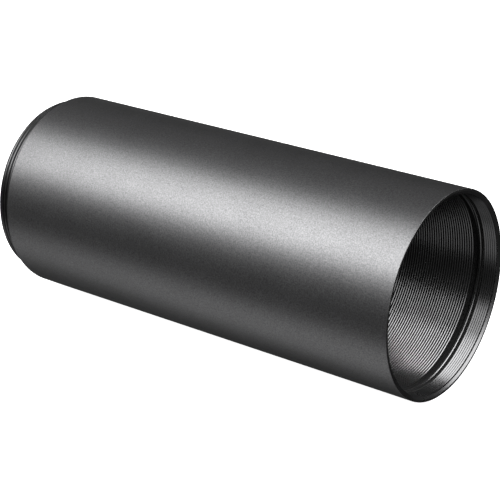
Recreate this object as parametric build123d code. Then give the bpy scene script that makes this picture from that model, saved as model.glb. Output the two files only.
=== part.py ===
from build123d import *

# Barlow lens: a turned 1.25 inch tube with a thread at each end and a negative doublet in a cell.
#
# Everything is turned about the optical axis, which is X. The origin is on that axis, in the plane of the
# tube's telescope-side face. +X points to the camera-side mouth and +Z is up. Lengths are in millimetres.

import math
import os

# Main tube, 31.75 mm outside, which is the 1.25 inch barrel
TUBE_R = 15.875
TUBE_LENGTH = 72.7
EDGE_BREAK = 0.06  # the small chamfer on the tube's outer edges

# Camera-side mouth, with the fine female thread that the next part of the train screws into
MOUTH_THREAD_R = 15.06  # minor radius
MOUTH_RIM_R = 15.48  # inner edge of the thin rim, where the lead-in starts
LEAD_IN_ANGLE = 60  # degrees from the axis, the same as the thread's flank
MOUTH_THREAD_END = 3.45  # depth at which the relief groove starts
MOUTH_RELIEF_R = 15.35
MOUTH_RELIEF_WIDTH = 0.7

# Bore and the socket for the lens cell
BORE_R = 15.0  # over the crests of the anti-reflection ribs
LEDGE_R = 13.7  # the ledge that the lens cell seats on
LEDGE_WIDTH = 1.0
SOCKET_DEPTH = 12.7
SOCKET_THREAD_R = 14.75
SOCKET_THREAD_LENGTH = 3.2
SOCKET_PILOT_R = 14.5

# Lens cell, with the male M28.5 x 0.6 thread that stands out of the tube
NOSE_R = 14.25  # major radius
NOSE_LENGTH = 3.1
NOSE_RELIEF_R = 13.75
NOSE_RELIEF_WIDTH = 0.6
NOSE_CHAMFER = 0.25
RUNNING_CLEARANCE = 0.05  # radial, on every thread and pilot
CELL_END_GAP = 0.05  # between the cell's end and the ledge
CELL_THREAD_START = 0.15
CELL_THREAD_END = 3.0
FRONT_OPENING_R = 12.9
SEAT_LIP_R = 12.2
SEAT_LIP_FRONT = 0.3
SEAT_X = 1.0  # the face that the glass is clamped against
RETAINER_THREAD_R = 13.05  # the cell's female thread for the retaining ring
RETAINER_THREAD_START = 9.6

# Glass: a biconcave crown cemented to a flint meniscus, about -70 mm in focal length
LENS_R = 12.7
LENS_CLEARANCE = 0.05
CLEAR_APERTURE_R = 12.3
CROWN_FRONT_CURVE = 39.4
CEMENTED_CURVE = 26.0
FLINT_REAR_CURVE = 120.6
CROWN_CENTRE = 1.4
FLINT_CENTRE = 4.45
CEMENT_GAP = 0.02

# Rings that hold the glass
CUSHION_THICKNESS = 0.4
CUSHION_INNER_R = 12.25
WASHER_THICKNESS = 0.3
WASHER_INNER_R = 12.2
RETAINER_THICKNESS = 1.8
RETAINER_INNER_R = 12.0
RETAINER_CHAMFER = 0.5
SPANNER_SLOT_WIDTH = 1.5
SPANNER_SLOT_DEPTH = 0.8
STACK_GAP = 0.02  # between pieces that press on each other

# Glare stop, a thin ring screwed up the bore behind the glass
STOP_X = 39.4  # its camera-side face
STOP_THICKNESS = 2.0
STOP_APERTURE_R = 11.7
STOP_LIP = 0.2  # thickness of the sharp inner edge
STOP_RIM_THICKNESS = 0.9  # thickness of the web behind the threaded rim
STOP_RIM_WIDTH = 1.0
STOP_SLOT_WIDTH = 1.5

CELL_END_X = SOCKET_DEPTH - CELL_END_GAP


def sag(curve, radius):
    """How far a spherical surface falls away from its vertex at this distance from the axis."""
    return curve - math.sqrt(curve**2 - radius**2)


def turned(*outline):
    """The solid turned from a closed (x, r) outline."""
    return revolve(make_face(Polyline(*outline, close=True)), axis=Axis.X)


def main_tube():
    """The tube: cell socket, ledge, bore, relief groove and mouth thread."""
    mouth = TUBE_LENGTH
    lead_in = (MOUTH_RIM_R - MOUTH_THREAD_R) / math.tan(math.radians(LEAD_IN_ANGLE))
    thread_end = mouth - MOUTH_THREAD_END
    relief_end = thread_end - MOUTH_RELIEF_WIDTH
    ledge_end = SOCKET_DEPTH + LEDGE_WIDTH
    return turned(
        (0, TUBE_R - EDGE_BREAK),
        (EDGE_BREAK, TUBE_R),
        (mouth - EDGE_BREAK, TUBE_R),
        (mouth, TUBE_R - EDGE_BREAK),
        (mouth, MOUTH_RIM_R),
        (mouth - lead_in, MOUTH_THREAD_R),
        (thread_end, MOUTH_THREAD_R),
        (thread_end, MOUTH_RELIEF_R),
        (relief_end, MOUTH_RELIEF_R),
        (relief_end, BORE_R),
        (ledge_end, BORE_R),
        (ledge_end, LEDGE_R),
        (SOCKET_DEPTH, LEDGE_R),
        (SOCKET_DEPTH, SOCKET_PILOT_R),
        (SOCKET_THREAD_LENGTH, SOCKET_PILOT_R),
        (SOCKET_THREAD_LENGTH, SOCKET_THREAD_R),
        (0, SOCKET_THREAD_R),
    )


def lens_cell():
    """The cell: threaded nose, relief groove, socket thread, pilot, glass seat and retainer thread."""
    thread_r = SOCKET_THREAD_R - RUNNING_CLEARANCE
    pilot_r = SOCKET_PILOT_R - RUNNING_CLEARANCE
    pocket_r = LENS_R + LENS_CLEARANCE
    return turned(
        (-NOSE_LENGTH, FRONT_OPENING_R + NOSE_CHAMFER),
        (-NOSE_LENGTH, NOSE_R - NOSE_CHAMFER),
        (-NOSE_LENGTH + NOSE_CHAMFER, NOSE_R),
        (-NOSE_RELIEF_WIDTH, NOSE_R),
        (-NOSE_RELIEF_WIDTH, NOSE_RELIEF_R),
        (CELL_THREAD_START, NOSE_RELIEF_R),
        (CELL_THREAD_START, thread_r),
        (CELL_THREAD_END, thread_r),
        (CELL_THREAD_END, pilot_r),
        (CELL_END_X, pilot_r),
        (CELL_END_X, RETAINER_THREAD_R),
        (RETAINER_THREAD_START, RETAINER_THREAD_R),
        (RETAINER_THREAD_START, pocket_r),
        (SEAT_X, pocket_r),
        (SEAT_X, SEAT_LIP_R),
        (SEAT_LIP_FRONT, SEAT_LIP_R),
        (SEAT_LIP_FRONT, FRONT_OPENING_R),
        (-NOSE_LENGTH + NOSE_CHAMFER, FRONT_OPENING_R),
    )


def lens_element(front_x, front_curve, rear_x, rear_curve):
    """A glass disc between two spherical surfaces, given by vertex and signed radius of curvature.

    A positive radius has its centre on the camera side. Outside the clear aperture each face is flat.
    """

    def edge(vertex_x, curve):
        return vertex_x + math.copysign(sag(abs(curve), CLEAR_APERTURE_R), curve)

    def surface(vertex_x, curve):
        half_r = CLEAR_APERTURE_R / 2
        half_x = vertex_x + math.copysign(sag(abs(curve), half_r), curve)
        return ThreePointArc((vertex_x, 0), (half_x, half_r), (edge(vertex_x, curve), CLEAR_APERTURE_R))

    front_edge = edge(front_x, front_curve)
    rear_edge = edge(rear_x, rear_curve)
    rim = Polyline(
        (front_edge, CLEAR_APERTURE_R),
        (front_edge, LENS_R),
        (rear_edge, LENS_R),
        (rear_edge, CLEAR_APERTURE_R),
    )
    axis_line = Line((front_x, 0), (rear_x, 0))
    outline = [axis_line, surface(front_x, front_curve), rim, surface(rear_x, rear_curve)]
    return revolve(make_face(Wire([edge for part in outline for edge in part.edges()])), axis=Axis.X)


def washer(front_x, thickness, inner_r, outer_r):
    """A flat ring."""
    rear_x = front_x + thickness
    return turned((front_x, inner_r), (front_x, outer_r), (rear_x, outer_r), (rear_x, inner_r))


def spanner_slots(face_x, depth, width, reach):
    """The cutter for two opposite spanner slots in a camera-side face."""
    return Pos(face_x - depth / 2, 0, 0) * Box(depth, width, 2 * reach)


def retaining_ring(front_x):
    """The threaded ring that clamps the glass, with a bevelled bore and two spanner slots."""
    rear_x = front_x + RETAINER_THICKNESS
    outer_r = RETAINER_THREAD_R - RUNNING_CLEARANCE
    ring = turned(
        (front_x, RETAINER_INNER_R),
        (front_x, outer_r),
        (rear_x, outer_r),
        (rear_x, RETAINER_INNER_R + RETAINER_CHAMFER),
        (rear_x - RETAINER_CHAMFER, RETAINER_INNER_R),
    )
    return ring - spanner_slots(rear_x, SPANNER_SLOT_DEPTH, SPANNER_SLOT_WIDTH, TUBE_R)


def glare_stop():
    """The stop: a threaded rim, a thin web and a bevel down to a sharp edge at the aperture."""
    front_x = STOP_X - STOP_THICKNESS
    web_x = front_x + STOP_RIM_THICKNESS
    outer_r = BORE_R - RUNNING_CLEARANCE
    rim_r = outer_r - STOP_RIM_WIDTH
    bevel_r = STOP_APERTURE_R + STOP_RIM_THICKNESS - STOP_LIP
    ring = turned(
        (front_x, STOP_APERTURE_R),
        (front_x, outer_r),
        (STOP_X, outer_r),
        (STOP_X, rim_r),
        (web_x, rim_r),
        (web_x, bevel_r),
        (front_x + STOP_LIP, STOP_APERTURE_R),
    )
    return ring - spanner_slots(STOP_X, STOP_THICKNESS - STOP_RIM_THICKNESS, STOP_SLOT_WIDTH, TUBE_R)


def optics():
    """The glass and the rings that hold it, stacked from the seat towards the camera."""
    cushion_x = SEAT_X
    crown_edge_x = cushion_x + CUSHION_THICKNESS + STACK_GAP
    crown_front_x = crown_edge_x + sag(CROWN_FRONT_CURVE, CLEAR_APERTURE_R)
    crown_rear_x = crown_front_x + CROWN_CENTRE
    flint_front_x = crown_rear_x + CEMENT_GAP
    flint_rear_x = flint_front_x + FLINT_CENTRE
    flint_edge_x = flint_rear_x + sag(FLINT_REAR_CURVE, CLEAR_APERTURE_R)
    washer_x = flint_edge_x + STACK_GAP
    retainer_x = washer_x + WASHER_THICKNESS + STACK_GAP
    return {
        "seat_cushion": washer(cushion_x, CUSHION_THICKNESS, CUSHION_INNER_R, LENS_R),
        "crown_element": lens_element(crown_front_x, -CROWN_FRONT_CURVE, crown_rear_x, CEMENTED_CURVE),
        "flint_element": lens_element(flint_front_x, CEMENTED_CURVE, flint_rear_x, FLINT_REAR_CURVE),
        "retainer_washer": washer(
            washer_x, WASHER_THICKNESS, WASHER_INNER_R, RETAINER_THREAD_R - RUNNING_CLEARANCE
        ),
        "retaining_ring": retaining_ring(retainer_x),
    }


def write_parts():
    """Writes one STEP file per piece, named after it."""
    os.makedirs("parts", exist_ok=True)
    pieces = {"main_tube": main_tube(), "lens_cell": lens_cell(), **optics(), "glare_stop": glare_stop()}
    for name, solid in pieces.items():
        export_step(solid, f"parts/{name}.step")


write_parts()
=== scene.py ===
# Looks of the barlow lens: turned metal with real threads and ribs, coated glass, studio light.
#
# Everything is turned about the optical axis, X, with the origin in the tube's telescope-side face and the
# camera-side mouth towards +X. Outlines are in millimetres and are scaled to metres when the mesh is made.

import math

import bmesh
import bpy
import numpy as np
from mathutils import Matrix, Vector

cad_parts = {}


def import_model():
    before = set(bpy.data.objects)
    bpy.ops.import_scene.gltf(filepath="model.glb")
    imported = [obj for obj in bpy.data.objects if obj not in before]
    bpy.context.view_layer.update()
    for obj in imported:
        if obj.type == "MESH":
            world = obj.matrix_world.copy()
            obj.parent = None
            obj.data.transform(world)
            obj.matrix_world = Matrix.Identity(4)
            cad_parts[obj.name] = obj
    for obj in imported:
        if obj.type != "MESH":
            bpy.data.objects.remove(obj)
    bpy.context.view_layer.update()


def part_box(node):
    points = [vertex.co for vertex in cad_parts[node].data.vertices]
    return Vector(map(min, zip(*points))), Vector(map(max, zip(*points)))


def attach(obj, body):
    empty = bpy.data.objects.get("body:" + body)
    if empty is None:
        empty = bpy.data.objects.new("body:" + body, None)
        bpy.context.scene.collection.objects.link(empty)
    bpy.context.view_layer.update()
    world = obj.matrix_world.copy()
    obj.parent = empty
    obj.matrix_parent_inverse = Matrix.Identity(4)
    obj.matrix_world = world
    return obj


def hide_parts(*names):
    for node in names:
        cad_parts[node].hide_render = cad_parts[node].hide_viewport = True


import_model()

MM = 0.001
SEGMENTS = 160  # columns round the axis
ROUNDING_STEPS = 4
SHARP_ANGLE = math.radians(28)
WELD = 2e-6  # metres

TUBE_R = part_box("main_tube")[1].z / MM
TUBE_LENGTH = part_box("main_tube")[1].x / MM
NOSE_TIP_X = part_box("lens_cell")[0].x / MM
NOSE_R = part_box("lens_cell")[1].z / MM
CELL_END_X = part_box("lens_cell")[1].x / MM
EDGE = 0.05  # rounding on a turned edge

# Threads and ribs. A form is (phase, share of the depth, groove) points over one pitch. groove is 1 where
# the band up to the next point is painted shade: a near-black standing in for the shadow on a groove's
# floor and hidden walls.
V_THREAD = ((0.0, 0.0, 0), (0.3, 1.0, 1), (0.45, 1.0, 0), (0.75, 0.0, 0))
NOSE_PITCH = 0.6
NOSE_DEPTH = 0.3
CELL_PITCH = 0.5
CELL_DEPTH = 0.25
RETAINER_PITCH = 0.5
RETAINER_DEPTH = 0.13
MOUTH_PITCH = 0.35
MOUTH_DEPTH = 0.122
BLUNT_THREAD = ((0.0, 0.0, 1), (0.05, 1.0, 1), (0.48, 1.0, 0))
RIB_PITCH = 0.41
RIB_DEPTH = 0.062
RIB = ((0.0, 1.0, 1), (0.42, 1.0, 0), (0.645, 0.0, 1), (0.68, 1.0, 1))

# The stretch over which the depth of a thread or rib fades in or out, in pitches
SUDDEN = 0.01
SHORT = 0.1
GRADUAL = 0.6


class Turning:
    """A closed outline turned about X, row by row. A row may follow a helix, which makes a real thread."""

    def __init__(self):
        self.x, self.r, self.skin = [], [], []
        self.turn = np.linspace(0.0, 1.0, SEGMENTS + 1)

    def ring(self, x, r, skin=0):
        """A plain circle. skin is the material slot of the band that follows it."""
        self.x.append(np.full(SEGMENTS + 1, float(x)))
        self.r.append(np.full(SEGMENTS + 1, float(r)))
        self.skin.append(skin)

    def outline(self, points, skin=0):
        """Circles through (x, r) or (x, r, rounding) points. A rounding replaces the corner by a curve."""
        for i, point in enumerate(points):
            x, r = point[:2]
            if len(point) == 2:
                self.ring(x, r, skin)
                continue
            here = np.array((x, r))
            before = np.array(points[i - 1][:2]) - here
            after = np.array(points[(i + 1) % len(points)][:2]) - here
            start = here + before * point[2] / np.linalg.norm(before)
            end = here + after * point[2] / np.linalg.norm(after)
            for t in np.linspace(0, 1, ROUNDING_STEPS + 1):
                on_curve = (1 - t) ** 2 * start + 2 * t * (1 - t) * here + t**2 * end
                self.ring(*on_curve, skin)

    def thread(
        self, start_x, end_x, r, depth, pitch, form=V_THREAD, skin=0, fade=(GRADUAL, GRADUAL), cone=None
    ):
        """A right-hand thread from one circle to another. A positive depth cuts away from the axis.

        fade is the stretch, in pitches, over which the depth fades at the low and at the high end. cone is
        (x, r, slope) of a turned cone that has cut the thread's crests away, as a chamfer does.
        """
        low, high = sorted((start_x, end_x))
        forwards = end_x > start_x
        count = math.ceil((high - low) / pitch) + 1
        phases = [(k + at, share, groove) for k in range(count) for at, share, groove in form]
        for at, share, groove in phases:
            base = start_x - pitch + at * pitch if forwards else start_x - at * pitch
            x = np.clip(base + pitch * self.turn, low, high)
            rise = np.clip((x - low) / (fade[0] * pitch), 0, 1)
            fall = np.clip((high - x) / (fade[1] * pitch), 0, 1)
            radius = r + depth * share * rise * fall
            if cone:
                cut = cone[1] + cone[2] * (x - cone[0])
                radius = np.maximum(radius, cut) if depth > 0 else np.minimum(radius, cut)
            self.x.append(x)
            self.r.append(radius)
            # Bands that the form marks as groove go on the next slot, which is painted shade.
            self.skin.append(skin + groove)

    def mesh(self, name, closed=True):
        """The welded mesh, in metres, with its normals outwards and its turned edges sharp."""
        x, r = np.array(self.x), np.array(self.r)
        angle = 2 * math.pi * self.turn[None, :]
        places = np.stack([x, -r * np.sin(angle), r * np.cos(angle)], axis=-1) * MM
        rows, columns = x.shape
        bm = bmesh.new()
        grid = [[bm.verts.new(p) for p in row] for row in places]
        last = rows if closed else rows - 1
        for i in range(last):
            this, following = grid[i], grid[(i + 1) % rows]
            for j in range(columns - 1):
                face = bm.faces.new((this[j], this[j + 1], following[j + 1], following[j]))
                face.material_index = self.skin[i]
                face.smooth = True
        bmesh.ops.remove_doubles(bm, verts=bm.verts, dist=WELD)
        bmesh.ops.dissolve_degenerate(bm, edges=bm.edges, dist=WELD / 4)
        bmesh.ops.recalc_face_normals(bm, faces=bm.faces)
        mesh = bpy.data.meshes.new(name)
        bm.to_mesh(mesh)
        bm.free()
        mesh.set_sharp_from_angle(angle=SHARP_ANGLE)
        return mesh


def piece(name, mesh, body, node, materials):
    """Puts a finished mesh in the scene in place of a CAD node."""
    obj = bpy.data.objects.new(name, mesh)
    bpy.context.scene.collection.objects.link(obj)
    for material in materials:
        mesh.materials.append(material)
    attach(obj, body)
    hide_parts(node)


# Materials

LATHE_STRETCH = (1.0, 0.02, 0.02)  # draws a noise out round the axis, into the lathe tool's rings
FILM_IOR = 1.38  # magnesium fluoride


def new_material(name):
    """A material with its Principled shader, and a function that adds a node to it."""
    material = bpy.data.materials.new(name)
    material.use_nodes = True
    tree = material.node_tree
    shader = tree.nodes["Principled BSDF"]

    def add(kind, **values):
        node = tree.nodes.new(kind)
        for key, value in values.items():
            setattr(node, key, value)
        return node

    return material, tree, shader, add


def noise(tree, add, coordinates, scale, detail=2.0, roughness=0.5, stretch=None):
    """The Fac output of a noise texture in object space, stretched if asked."""
    source = coordinates.outputs["Object"]
    if stretch:
        mapping = add("ShaderNodeMapping")
        mapping.inputs["Scale"].default_value = stretch
        tree.links.new(source, mapping.inputs["Vector"])
        source = mapping.outputs["Vector"]
    texture = add("ShaderNodeTexNoise")
    texture.inputs["Scale"].default_value = scale
    texture.inputs["Detail"].default_value = detail
    texture.inputs["Roughness"].default_value = roughness
    tree.links.new(source, texture.inputs["Vector"])
    return texture.outputs["Fac"]


def span(tree, add, value, low, high):
    """Spreads a 0 to 1 value over low to high."""
    node = add("ShaderNodeMapRange")
    node.inputs["To Min"].default_value = low
    node.inputs["To Max"].default_value = high
    tree.links.new(value, node.inputs["Value"])
    return node.outputs["Result"]


def shade(tree, add, value, dark, light):
    """Mixes two greys by a value, and takes its ends beyond 0.3 and 0.7 as all dark and all light."""
    ramp = add("ShaderNodeValToRGB")
    for element, colour, position in zip(ramp.color_ramp.elements, (dark, light), (0.3, 0.7)):
        element.color = (*colour, 1)
        element.position = position
    tree.links.new(value, ramp.inputs["Fac"])
    return ramp.outputs["Color"]


def bump(tree, add, shader, height, distance, strength):
    """Roughens the shader's normal by a height. distance is in metres."""
    node = add("ShaderNodeBump")
    node.inputs["Distance"].default_value = distance
    node.inputs["Strength"].default_value = strength
    tree.links.new(height, node.inputs["Height"])
    tree.links.new(node.outputs["Normal"], shader.inputs["Normal"])


def gunmetal():
    """Bead-blasted aluminium, anodised dark gunmetal: a fine pebbled grain with slightly uneven colour."""
    material, tree, shader, add = new_material("gunmetal_anodised")
    at = add("ShaderNodeTexCoord")
    grain = noise(tree, add, at, scale=5000, detail=3.0, roughness=0.6)
    cloud = noise(tree, add, at, scale=140, detail=3.0)
    shader.inputs["Metallic"].default_value = 1.0
    tone = shade(tree, add, grain, (0.105, 0.105, 0.107), (0.195, 0.195, 0.198))
    tree.links.new(tone, shader.inputs["Base Color"])
    tree.links.new(span(tree, add, cloud, low=0.38, high=0.44), shader.inputs["Roughness"])
    shader.inputs["Specular Tint"].default_value = (0.6, 0.6, 0.6, 1)
    bump(tree, add, shader, grain, distance=0.00002, strength=0.5)
    return material


def turned_anodised(name, roughness, tone):
    """Turned, dark anodised aluminium with the fine rings that the lathe tool leaves."""
    material, tree, shader, add = new_material(name)
    at = add("ShaderNodeTexCoord")
    rings = noise(tree, add, at, scale=4000, detail=1.0, stretch=LATHE_STRETCH)
    cloud = noise(tree, add, at, scale=250, detail=3.0)
    dark = (tone * 0.85, tone * 0.85, tone * 0.86)
    light = (tone * 1.15, tone * 1.15, tone * 1.17)
    tree.links.new(shade(tree, add, cloud, dark, light), shader.inputs["Base Color"])
    tree.links.new(span(tree, add, cloud, roughness - 0.04, roughness + 0.05), shader.inputs["Roughness"])
    shader.inputs["Metallic"].default_value = 1.0
    shader.inputs["Specular Tint"].default_value = (0.5, 0.5, 0.5, 1)
    bump(tree, add, shader, rings, distance=0.000004, strength=0.5)
    return material


def soft_black(name, tone, roughness, grain_scale):
    """A matt grainy black: moulded rubber or nylon, edge paint, or painted shade on the floor of a fine
    groove.
    """
    material, tree, shader, add = new_material(name)
    at = add("ShaderNodeTexCoord")
    grain = noise(tree, add, at, scale=grain_scale, detail=3.0)
    dark = (tone * 0.75,) * 3
    light = (tone * 1.3,) * 3
    tree.links.new(shade(tree, add, grain, dark, light), shader.inputs["Base Color"])
    tree.links.new(span(tree, add, grain, roughness - 0.06, roughness + 0.06), shader.inputs["Roughness"])
    bump(tree, add, shader, grain, distance=0.00002, strength=0.4)
    return material


def coated_glass(name, ior, film_nm, tint):
    """Polished glass under a thin antireflection film, with a trace of uneven polish."""
    material, tree, shader, add = new_material(name)
    at = add("ShaderNodeTexCoord")
    polish = noise(tree, add, at, scale=400, detail=4.0)
    shader.inputs["Base Color"].default_value = (*tint, 1)
    shader.inputs["Transmission Weight"].default_value = 1.0
    shader.inputs["IOR"].default_value = ior
    shader.inputs["Thin Film Thickness"].default_value = film_nm
    shader.inputs["Thin Film IOR"].default_value = FILM_IOR
    tree.links.new(span(tree, add, polish, low=0.0, high=0.02), shader.inputs["Roughness"])
    return material


# The slot after a turned piece's own finish holds painted shade, a near-black put where shadow falls in
# grooves and thread roots.
PAINTED_SHADE_SLOT = 1  # how many material slots further on the dark of a groove is
GUNMETAL = gunmetal()
# Painted shade for the floors and hidden walls of grooves, relief grooves and thread roots.
GROOVE_PAINTED_SHADE = soft_black("groove_painted_shade", tone=0.006, roughness=0.75, grain_scale=1400)
BORE_BLACK = turned_anodised("bore_anodised", roughness=0.26, tone=0.14)
RIB_BLACK = turned_anodised("rib_anodised", roughness=0.26, tone=0.18)
CELL_BLACK = turned_anodised("cell_anodised", roughness=0.30, tone=0.10)
RING_BLACK = turned_anodised("ring_anodised", roughness=0.34, tone=0.09)
STOP_BLACK = turned_anodised("stop_anodised", roughness=0.5, tone=0.05)
EDGE_BLACK = soft_black("glass_edge_paint", tone=0.01, roughness=0.7, grain_scale=900)
RUBBER = soft_black("black_rubber", tone=0.02, roughness=0.62, grain_scale=1500)
NYLON = soft_black("black_nylon", tone=0.03, roughness=0.5, grain_scale=1100)
CROWN_GLASS = coated_glass("coated_crown_glass", ior=1.52, film_nm=420, tint=(0.985, 1.0, 0.99))
FLINT_GLASS = coated_glass("coated_flint_glass", ior=1.62, film_nm=520, tint=(1.0, 0.995, 0.985))


# Turned pieces. The sizes follow the CAD part's outlines, which these meshes stand for. The CAD part has
# plain cylinders where these have threads and ribs, and its mouth thread takes in the first ribs. As in the
# CAD part, the crests of a male thread stay 0.05 mm short of the female thread's.

EDGE_BREAK = 0.06
MOUTH_THREAD_R = 15.06
MOUTH_RIM_R = 15.48
LEAD_IN_SLOPE = math.tan(math.radians(60))  # a cone at the angle of a thread's flank
MOUTH_THREAD_LENGTH = 2.68
FIRST_RIB_DEPTH = 2.75
MOUTH_RELIEF_DEPTH = 3.45
MOUTH_RELIEF_R = 15.35
MOUTH_RELIEF_WIDTH = 0.7
BORE_R = 15.0
LEDGE_R = 13.7
LEDGE_WIDTH = 1.0
SOCKET_DEPTH = 12.7
SOCKET_THREAD_R = 14.75
SOCKET_THREAD_LENGTH = 3.2
SOCKET_PILOT_R = 14.5

FRONT_OPENING_R = 12.9
NOSE_RELIEF_R = 13.75
NOSE_RELIEF_WIDTH = 0.6
NOSE_CHAMFER = 0.25
CELL_THREAD_START = 0.15
CELL_THREAD_END = 3.0
CELL_THREAD_R = 14.7
CELL_PILOT_R = 14.45
RETAINER_THREAD_R = 13.05
RETAINER_THREAD_START = 9.6
POCKET_R = 12.75
SEAT_X = 1.0
SEAT_LIP_R = 12.2
SEAT_LIP_FRONT = 0.3

THREAD_START = 0.12  # the bevel that a male thread starts with
CLEAR_APERTURE_R = 12.3
CROWN_FRONT_CURVE = 39.4
CEMENTED_CURVE = 26.0
FLINT_REAR_CURVE = 120.6
DOME_STEPS = 24
GROUND_STEP = 0.02  # from the polished face's rim to the ground flat outside it
GLASS_BEVEL = 0.1
CUSHION_INNER_R = 12.25
CUSHION_ROUNDING = 0.09
WASHER_INNER_R = 12.2
WASHER_ROUNDING = 0.04
RETAINER_INNER_R = 12.0
RETAINER_CHAMFER = 0.5
SPANNER_SLOT_WIDTH = 1.5
SPANNER_SLOT_DEPTH = 0.8
STOP_APERTURE_R = 11.7
STOP_THICKNESS = 2.0
STOP_LIP = 0.2
STOP_RIM_THICKNESS = 0.9
STOP_RIM_WIDTH = 1.0
STOP_SLOT_WIDTH = 1.5


def main_tube():
    """The tube: blasted outside, and inside it the mouth thread, relief groove, ribs, ledge and socket."""
    outside, inside, ribbed = 0, 1, 3
    mouth = TUBE_LENGTH
    lead_in_end = mouth - (MOUTH_RIM_R - MOUTH_THREAD_R) / LEAD_IN_SLOPE
    thread_end = mouth - MOUTH_THREAD_LENGTH
    first_rib = mouth - FIRST_RIB_DEPTH
    relief_start = mouth - MOUTH_RELIEF_DEPTH
    relief_end = relief_start - MOUTH_RELIEF_WIDTH
    ledge_end = SOCKET_DEPTH + LEDGE_WIDTH
    tube = Turning()
    tube.outline(
        [
            (0.0, SOCKET_THREAD_R),
            (0.0, TUBE_R, EDGE_BREAK),
            (mouth, TUBE_R, EDGE_BREAK),
            (mouth, MOUTH_RIM_R),
        ],
        outside,
    )
    tube.skin[-2:] = [inside, inside]
    tube.thread(
        lead_in_end,
        thread_end,
        MOUTH_THREAD_R,
        MOUTH_DEPTH,
        MOUTH_PITCH,
        form=BLUNT_THREAD,
        skin=inside,
        fade=(SHORT, SHORT),
    )
    # From the mouth thread's end to the first rib, and across the relief groove, the bore is painted shade.
    tube.ring(thread_end, MOUTH_THREAD_R + MOUTH_DEPTH, inside + PAINTED_SHADE_SLOT)
    tube.thread(
        first_rib, relief_start, BORE_R, RIB_DEPTH, RIB_PITCH, form=RIB, skin=ribbed, fade=(SUDDEN, SUDDEN)
    )
    tube.outline([(relief_start, MOUTH_RELIEF_R), (relief_end, MOUTH_RELIEF_R)], inside + PAINTED_SHADE_SLOT)
    tube.thread(
        relief_end, ledge_end, BORE_R, RIB_DEPTH, RIB_PITCH, form=RIB, skin=ribbed, fade=(GRADUAL, SUDDEN)
    )
    tube.outline(
        [
            (ledge_end, LEDGE_R),
            (SOCKET_DEPTH, LEDGE_R),
            (SOCKET_DEPTH, SOCKET_PILOT_R),
            (SOCKET_THREAD_LENGTH, SOCKET_PILOT_R),
        ],
        inside,
    )
    tube.thread(SOCKET_THREAD_LENGTH, 0.0, SOCKET_THREAD_R, CELL_DEPTH, CELL_PITCH, skin=inside)
    mesh = tube.mesh("main_tube_turned")
    finishes = [GUNMETAL, BORE_BLACK, GROOVE_PAINTED_SHADE, RIB_BLACK, GROOVE_PAINTED_SHADE]
    piece("main_tube_turned", mesh, "tube", "main_tube", finishes)


def lens_cell():
    """The cell: threaded nose, relief, socket thread, pilot, retainer thread and glass pocket."""
    tip_r = NOSE_R - NOSE_CHAMFER
    cell = Turning()
    cell.outline(
        [
            (SEAT_LIP_FRONT, FRONT_OPENING_R),
            (NOSE_TIP_X + NOSE_CHAMFER, FRONT_OPENING_R),
            (NOSE_TIP_X, FRONT_OPENING_R + NOSE_CHAMFER, EDGE),
            (NOSE_TIP_X, tip_r),
        ]
    )
    cell.thread(
        NOSE_TIP_X,
        -NOSE_RELIEF_WIDTH,
        NOSE_R,
        -NOSE_DEPTH,
        NOSE_PITCH,
        fade=(SUDDEN, GRADUAL),
        cone=(NOSE_TIP_X, tip_r, 1.0),
    )
    # The nose's relief groove is painted shade.
    cell.outline([(-NOSE_RELIEF_WIDTH, NOSE_RELIEF_R), (CELL_THREAD_START, NOSE_RELIEF_R)], PAINTED_SHADE_SLOT)
    cell.thread(CELL_THREAD_START, CELL_THREAD_END, CELL_THREAD_R, -CELL_DEPTH, CELL_PITCH)
    cell.outline([(CELL_THREAD_END, CELL_PILOT_R)])
    cell.outline([(CELL_END_X - EDGE, CELL_PILOT_R), (CELL_END_X, CELL_PILOT_R - EDGE)])
    cell.thread(CELL_END_X, RETAINER_THREAD_START, RETAINER_THREAD_R, RETAINER_DEPTH, RETAINER_PITCH)
    cell.outline([(RETAINER_THREAD_START, POCKET_R), (SEAT_X, POCKET_R), (SEAT_X, SEAT_LIP_R)])
    cell.outline([(SEAT_LIP_FRONT + EDGE, SEAT_LIP_R), (SEAT_LIP_FRONT, SEAT_LIP_R + EDGE)])
    mesh = cell.mesh("lens_cell_turned")
    finishes = [CELL_BLACK, GROOVE_PAINTED_SHADE]
    piece("lens_cell_turned", mesh, "cell", "lens_cell", finishes)


def span_x(node):
    """Where a CAD node starts and ends on the axis, and its outer radius, in millimetres."""
    low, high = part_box(node)
    return low.x / MM, high.x / MM, high.z / MM


def sag(curve, r):
    """How far a spherical surface falls away from its vertex at this distance from the axis."""
    return curve - math.sqrt(curve**2 - r**2)


def dome(element, vertex_x, curve, outwards, skin):
    """Circles over a polished spherical face, from the axis to the clear aperture or back."""
    steps = range(DOME_STEPS + 1) if outwards else range(DOME_STEPS, -1, -1)
    for step in steps:
        r = CLEAR_APERTURE_R * step / DOME_STEPS
        element.ring(vertex_x + math.copysign(sag(abs(curve), r), curve), r, skin)


def lens_element(node, body, glass, front_curve, rear_curve):
    """A polished element with a ground and blackened edge. A positive curve has its centre camera-side."""
    polished, ground = 0, 1
    front, rear, outer_r = span_x(node)
    front_sag = sag(abs(front_curve), CLEAR_APERTURE_R)
    rear_sag = sag(abs(rear_curve), CLEAR_APERTURE_R)
    element = Turning()
    front_edge = front if front_curve < 0 else front + front_sag
    dome(element, front_edge - math.copysign(front_sag, front_curve), front_curve, True, polished)
    element.outline(
        [
            (front_edge, CLEAR_APERTURE_R + GROUND_STEP),
            (front_edge, outer_r, GLASS_BEVEL),
            (rear, outer_r, GLASS_BEVEL),
            (rear, CLEAR_APERTURE_R + GROUND_STEP),
        ],
        ground,
    )
    dome(element, rear - rear_sag, rear_curve, False, polished)
    mesh = element.mesh(node + "_polished", closed=False)
    piece(node + "_polished", mesh, body, node, [glass, EDGE_BLACK])


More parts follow.
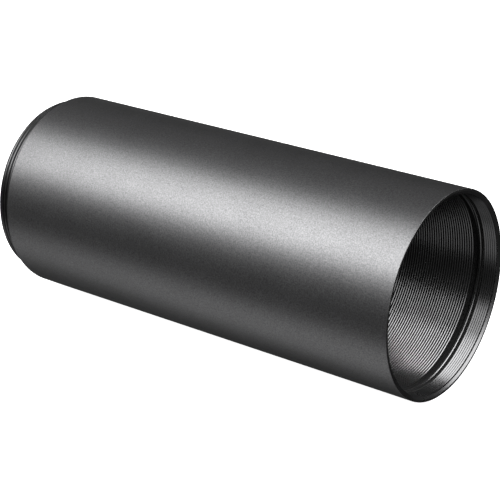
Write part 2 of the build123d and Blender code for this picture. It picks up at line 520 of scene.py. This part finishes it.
def flat_ring(node, body, inner_r, rounding, material):
    """A moulded or stamped flat ring with softened edges."""
    front, rear, outer_r = span_x(node)
    ring = Turning()
    corners = [(front, inner_r), (front, outer_r), (rear, outer_r), (rear, inner_r)]
    ring.outline([(x, r, rounding) for x, r in corners])
    mesh = ring.mesh(node + "_ring")
    piece(node + "_ring", mesh, body, node, [material])


def slotted(mesh, face_x, depth, width):
    """Cuts two opposite spanner slots into the camera-side face of a ring, with a bar laid across it."""
    bm = bmesh.new()
    size = Matrix.Diagonal(Vector((depth * 2, width, TUBE_R * 2)) * MM).to_4x4()
    bmesh.ops.create_cube(bm, size=1.0, matrix=Matrix.Translation((face_x * MM, 0, 0)) @ size)
    cutter_mesh = bpy.data.meshes.new("slot_cutter")
    bm.to_mesh(cutter_mesh)
    bm.free()
    cutter = bpy.data.objects.new("slot_cutter", cutter_mesh)
    ring = bpy.data.objects.new("uncut_ring", mesh)
    for obj in (cutter, ring):
        bpy.context.scene.collection.objects.link(obj)
    cut = ring.modifiers.new("slots", "BOOLEAN")
    cut.operation = "DIFFERENCE"
    cut.object = cutter
    cut.solver = "EXACT"
    graph = bpy.context.evaluated_depsgraph_get()
    result = bpy.data.meshes.new_from_object(ring.evaluated_get(graph))
    for obj in (cutter, ring):
        bpy.data.objects.remove(obj)
    result.set_sharp_from_angle(angle=SHARP_ANGLE)
    return result


def retaining_ring():
    """The threaded ring that clamps the glass: a bevelled bore and two spanner slots."""
    front, rear, outer_r = span_x("retaining_ring")
    ring = Turning()
    ring.outline([(rear, outer_r - THREAD_START), (rear, RETAINER_INNER_R + RETAINER_CHAMFER, EDGE)])
    ring.outline([(rear - RETAINER_CHAMFER, RETAINER_INNER_R), (front, RETAINER_INNER_R)])
    ring.outline([(front, outer_r - THREAD_START)])
    ring.thread(front + THREAD_START, rear - THREAD_START, outer_r, -RETAINER_DEPTH, RETAINER_PITCH)
    mesh = slotted(ring.mesh("retaining_ring_turned"), rear, SPANNER_SLOT_DEPTH, SPANNER_SLOT_WIDTH)
    finishes = [RING_BLACK, GROOVE_PAINTED_SHADE]
    piece("retaining_ring_cut", mesh, "retainer", "retaining_ring", finishes)


def glare_stop():
    """The stop: a threaded rim, a thin web and a bevel down to a sharp edge at the aperture."""
    front, rear, outer_r = span_x("glare_stop")
    web = front + STOP_RIM_THICKNESS
    rim_r = outer_r - STOP_RIM_WIDTH
    ring = Turning()
    ring.outline([(rear, outer_r - THREAD_START), (rear, rim_r + EDGE), (rear - EDGE, rim_r), (web, rim_r)])
    ring.outline([(web, STOP_APERTURE_R + STOP_RIM_THICKNESS - STOP_LIP)])
    ring.outline([(front + STOP_LIP, STOP_APERTURE_R)])
    ring.outline([(front, STOP_APERTURE_R), (front, outer_r - THREAD_START)])
    ring.thread(front + THREAD_START, rear - THREAD_START, outer_r, -RETAINER_DEPTH, RETAINER_PITCH)
    slot_depth = STOP_THICKNESS - STOP_RIM_THICKNESS
    mesh = slotted(ring.mesh("glare_stop_turned"), rear, slot_depth, STOP_SLOT_WIDTH)
    finishes = [STOP_BLACK, GROOVE_PAINTED_SHADE]
    piece("glare_stop_cut", mesh, "tube", "glare_stop", finishes)


main_tube()
lens_cell()
flat_ring("seat_cushion", "glass", CUSHION_INNER_R, CUSHION_ROUNDING, RUBBER)
lens_element(
    "crown_element", "glass", CROWN_GLASS, -CROWN_FRONT_CURVE, CEMENTED_CURVE
)
lens_element(
    "flint_element", "glass", FLINT_GLASS, CEMENTED_CURVE, FLINT_REAR_CURVE
)
flat_ring("retainer_washer", "washer", WASHER_INNER_R, WASHER_ROUNDING, NYLON)
retaining_ring()
glare_stop()


# Studio: pale floor, soft lights and the camera

REACH = TUBE_R * MM
MOUTH = Vector((TUBE_LENGTH * MM, 0, 0))
MIDDLE = MOUTH / 2
LIGHT_DISTANCE = 0.5
STRIP_LENGTH = 0.83
STRIP_SHIFT = -0.32  # towards the far end, where the outside's reflections come from
FLOOR_RADIUS = 6.0
FLOOR_SEGMENTS = 96
FLOOR_TONE = 0.85
FLOOR_GLOW = 0.97
CAMERA_PLACE = Vector((6.813, -11.844, 6.061))  # from the mouth's centre, in outer radii
CAMERA_FORWARDS = Vector((-0.56056, 0.73441, -0.38266))
CAMERA_LENS = 118.05
CAMERA_SENSOR = 36.0
CAMERA_SHIFT = (-0.0018, 0.0008)


def floor():
    """A wide pale floor that the tube rests on.

    It glows a little below white, so that it shows white, and neither shades the tube nor shows in it.
    """
    bm = bmesh.new()
    bmesh.ops.create_circle(bm, cap_ends=True, radius=FLOOR_RADIUS, segments=FLOOR_SEGMENTS)
    mesh = bpy.data.meshes.new("studio_floor")
    bm.to_mesh(mesh)
    bm.free()
    obj = bpy.data.objects.new("studio_floor", mesh)
    obj.location = (MIDDLE.x, 0, -REACH)
    bpy.context.scene.collection.objects.link(obj)
    material, _, shader, _ = new_material("studio_floor")
    shader.inputs["Base Color"].default_value = (FLOOR_TONE, FLOOR_TONE, FLOOR_TONE, 1)
    shader.inputs["Roughness"].default_value = 1.0
    shader.inputs["Specular IOR Level"].default_value = 0.0
    shader.inputs["Emission Color"].default_value = (1, 1, 1, 1)
    shader.inputs["Emission Strength"].default_value = FLOOR_GLOW
    mesh.materials.append(material)
    obj.visible_glossy = False
    obj.visible_diffuse = False
    obj.visible_transmission = False
    obj.visible_shadow = False


def area_light(name, place, x_axis, outwards, width, height, radiance):
    """A rectangular softbox that shines against outwards. radiance is its brightness, whatever its size."""
    light = bpy.data.lights.new(name, "AREA")
    light.shape = "RECTANGLE"
    light.size = width
    light.size_y = height
    light.energy = radiance * math.pi * width * height
    turn = Matrix((x_axis, outwards.cross(x_axis), outwards)).transposed()
    obj = bpy.data.objects.new(name, light)
    obj.matrix_world = Matrix.Translation(place) @ turn.to_4x4()
    bpy.context.scene.collection.objects.link(obj)


def strip(name, angle, width, radiance):
    """A long softbox beside the tube, at an angle from +Z towards the camera's side."""
    a = math.radians(angle)
    outwards = Vector((0, -math.sin(a), math.cos(a)))
    place = MIDDLE + outwards * LIGHT_DISTANCE + Vector((STRIP_SHIFT, 0, 0))
    area_light(name, place, Vector((1, 0, 0)), outwards, STRIP_LENGTH, width, radiance)


def panel(name, azimuth, elevation, width, height, radiance):
    """A softbox that faces the mouth from any side. azimuth is from +X towards +Y."""
    a, e = math.radians(azimuth), math.radians(elevation)
    outwards = Vector((math.cos(a) * math.cos(e), math.sin(a) * math.cos(e), math.sin(e)))
    x_axis = Vector((-math.sin(a), math.cos(a), 0))
    area_light(name, MOUTH + outwards * LIGHT_DISTANCE, x_axis, outwards, width, height, radiance)


def world(ambient):
    """An even grey surround. The camera sees it as white, like the floor."""
    scene_world = bpy.data.worlds.new("studio_surround")
    scene_world.use_nodes = True
    tree = scene_world.node_tree
    surround = tree.nodes["Background"]
    surround.inputs["Color"].default_value = (1, 1, 1, 1)
    surround.inputs["Strength"].default_value = ambient
    backdrop = tree.nodes.new("ShaderNodeBackground")
    backdrop.inputs["Color"].default_value = (1, 1, 1, 1)
    path = tree.nodes.new("ShaderNodeLightPath")
    mix = tree.nodes.new("ShaderNodeMixShader")
    tree.links.new(path.outputs["Is Camera Ray"], mix.inputs["Fac"])
    tree.links.new(surround.outputs["Background"], mix.inputs[1])
    tree.links.new(backdrop.outputs["Background"], mix.inputs[2])
    tree.links.new(mix.outputs["Shader"], tree.nodes["World Output"].inputs["Surface"])
    bpy.context.scene.world = scene_world


def camera():
    """The camera, level with the horizon."""
    data = bpy.data.cameras.new("camera")
    data.sensor_width = CAMERA_SENSOR
    data.lens = CAMERA_LENS
    data.shift_x, data.shift_y = CAMERA_SHIFT
    forwards = CAMERA_FORWARDS.normalized()
    right = forwards.cross(Vector((0, 0, 1))).normalized()
    up = right.cross(forwards)
    turn = Matrix((right, up, -forwards)).transposed()
    obj = bpy.data.objects.new("camera", data)
    obj.matrix_world = Matrix.Translation(MOUTH + CAMERA_PLACE * REACH) @ turn.to_4x4()
    bpy.context.scene.collection.objects.link(obj)
    bpy.context.scene.camera = obj


camera()
floor()
world(ambient=0.06)
strip("key_top", angle=12, width=0.1, radiance=2.7)
strip("key_upper", angle=30, width=0.215, radiance=5.1)
strip("key_lower", angle=49, width=0.127, radiance=6.8)
strip("key_bottom", angle=61, width=0.09, radiance=1.8)
strip("top_fill", angle=-35, width=0.5, radiance=0.15)
strip("low_fill", angle=153, width=0.38, radiance=0.85)
panel("overhead", azimuth=12, elevation=60, width=0.52, height=0.19, radiance=6.6)
panel("side_front", azimuth=-38, elevation=33, width=0.19, height=0.25, radiance=2.6)
panel("front", azimuth=22, elevation=13, width=0.38, height=0.16, radiance=6.0)
panel("low_front", azimuth=-50, elevation=-43, width=0.25, height=0.32, radiance=0.5)
panel("under_front", azimuth=10, elevation=-75, width=0.4, height=0.4, radiance=0.22)
bpy.context.scene.view_settings.view_transform = "Standard"
